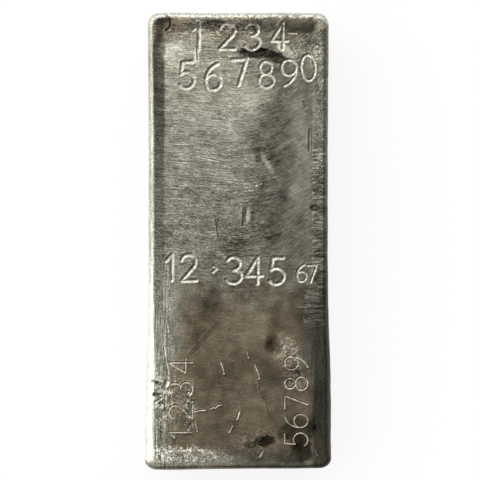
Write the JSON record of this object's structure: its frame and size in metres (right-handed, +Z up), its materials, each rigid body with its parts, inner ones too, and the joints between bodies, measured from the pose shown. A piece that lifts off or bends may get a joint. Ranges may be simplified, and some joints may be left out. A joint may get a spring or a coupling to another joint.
{
  "type": "cast silver bar",
  "caption": "Long cast metal bar with drafted walls, rounded edges and a slightly sunken poured face.",
  "frame": {"origin": "middle of the flat face the bar rests on", "axes": "+X across the bar, +Y along it towards the head, where the dish is deepest, +Z up"},
  "size_m": [0.109, 0.27, 0.0487],
  "materials": {
    "cast_silver": "satin"
  },
  "bodies": {
    "root": {"silver_bar": "cast_silver"}
  },
  "joints": []
}
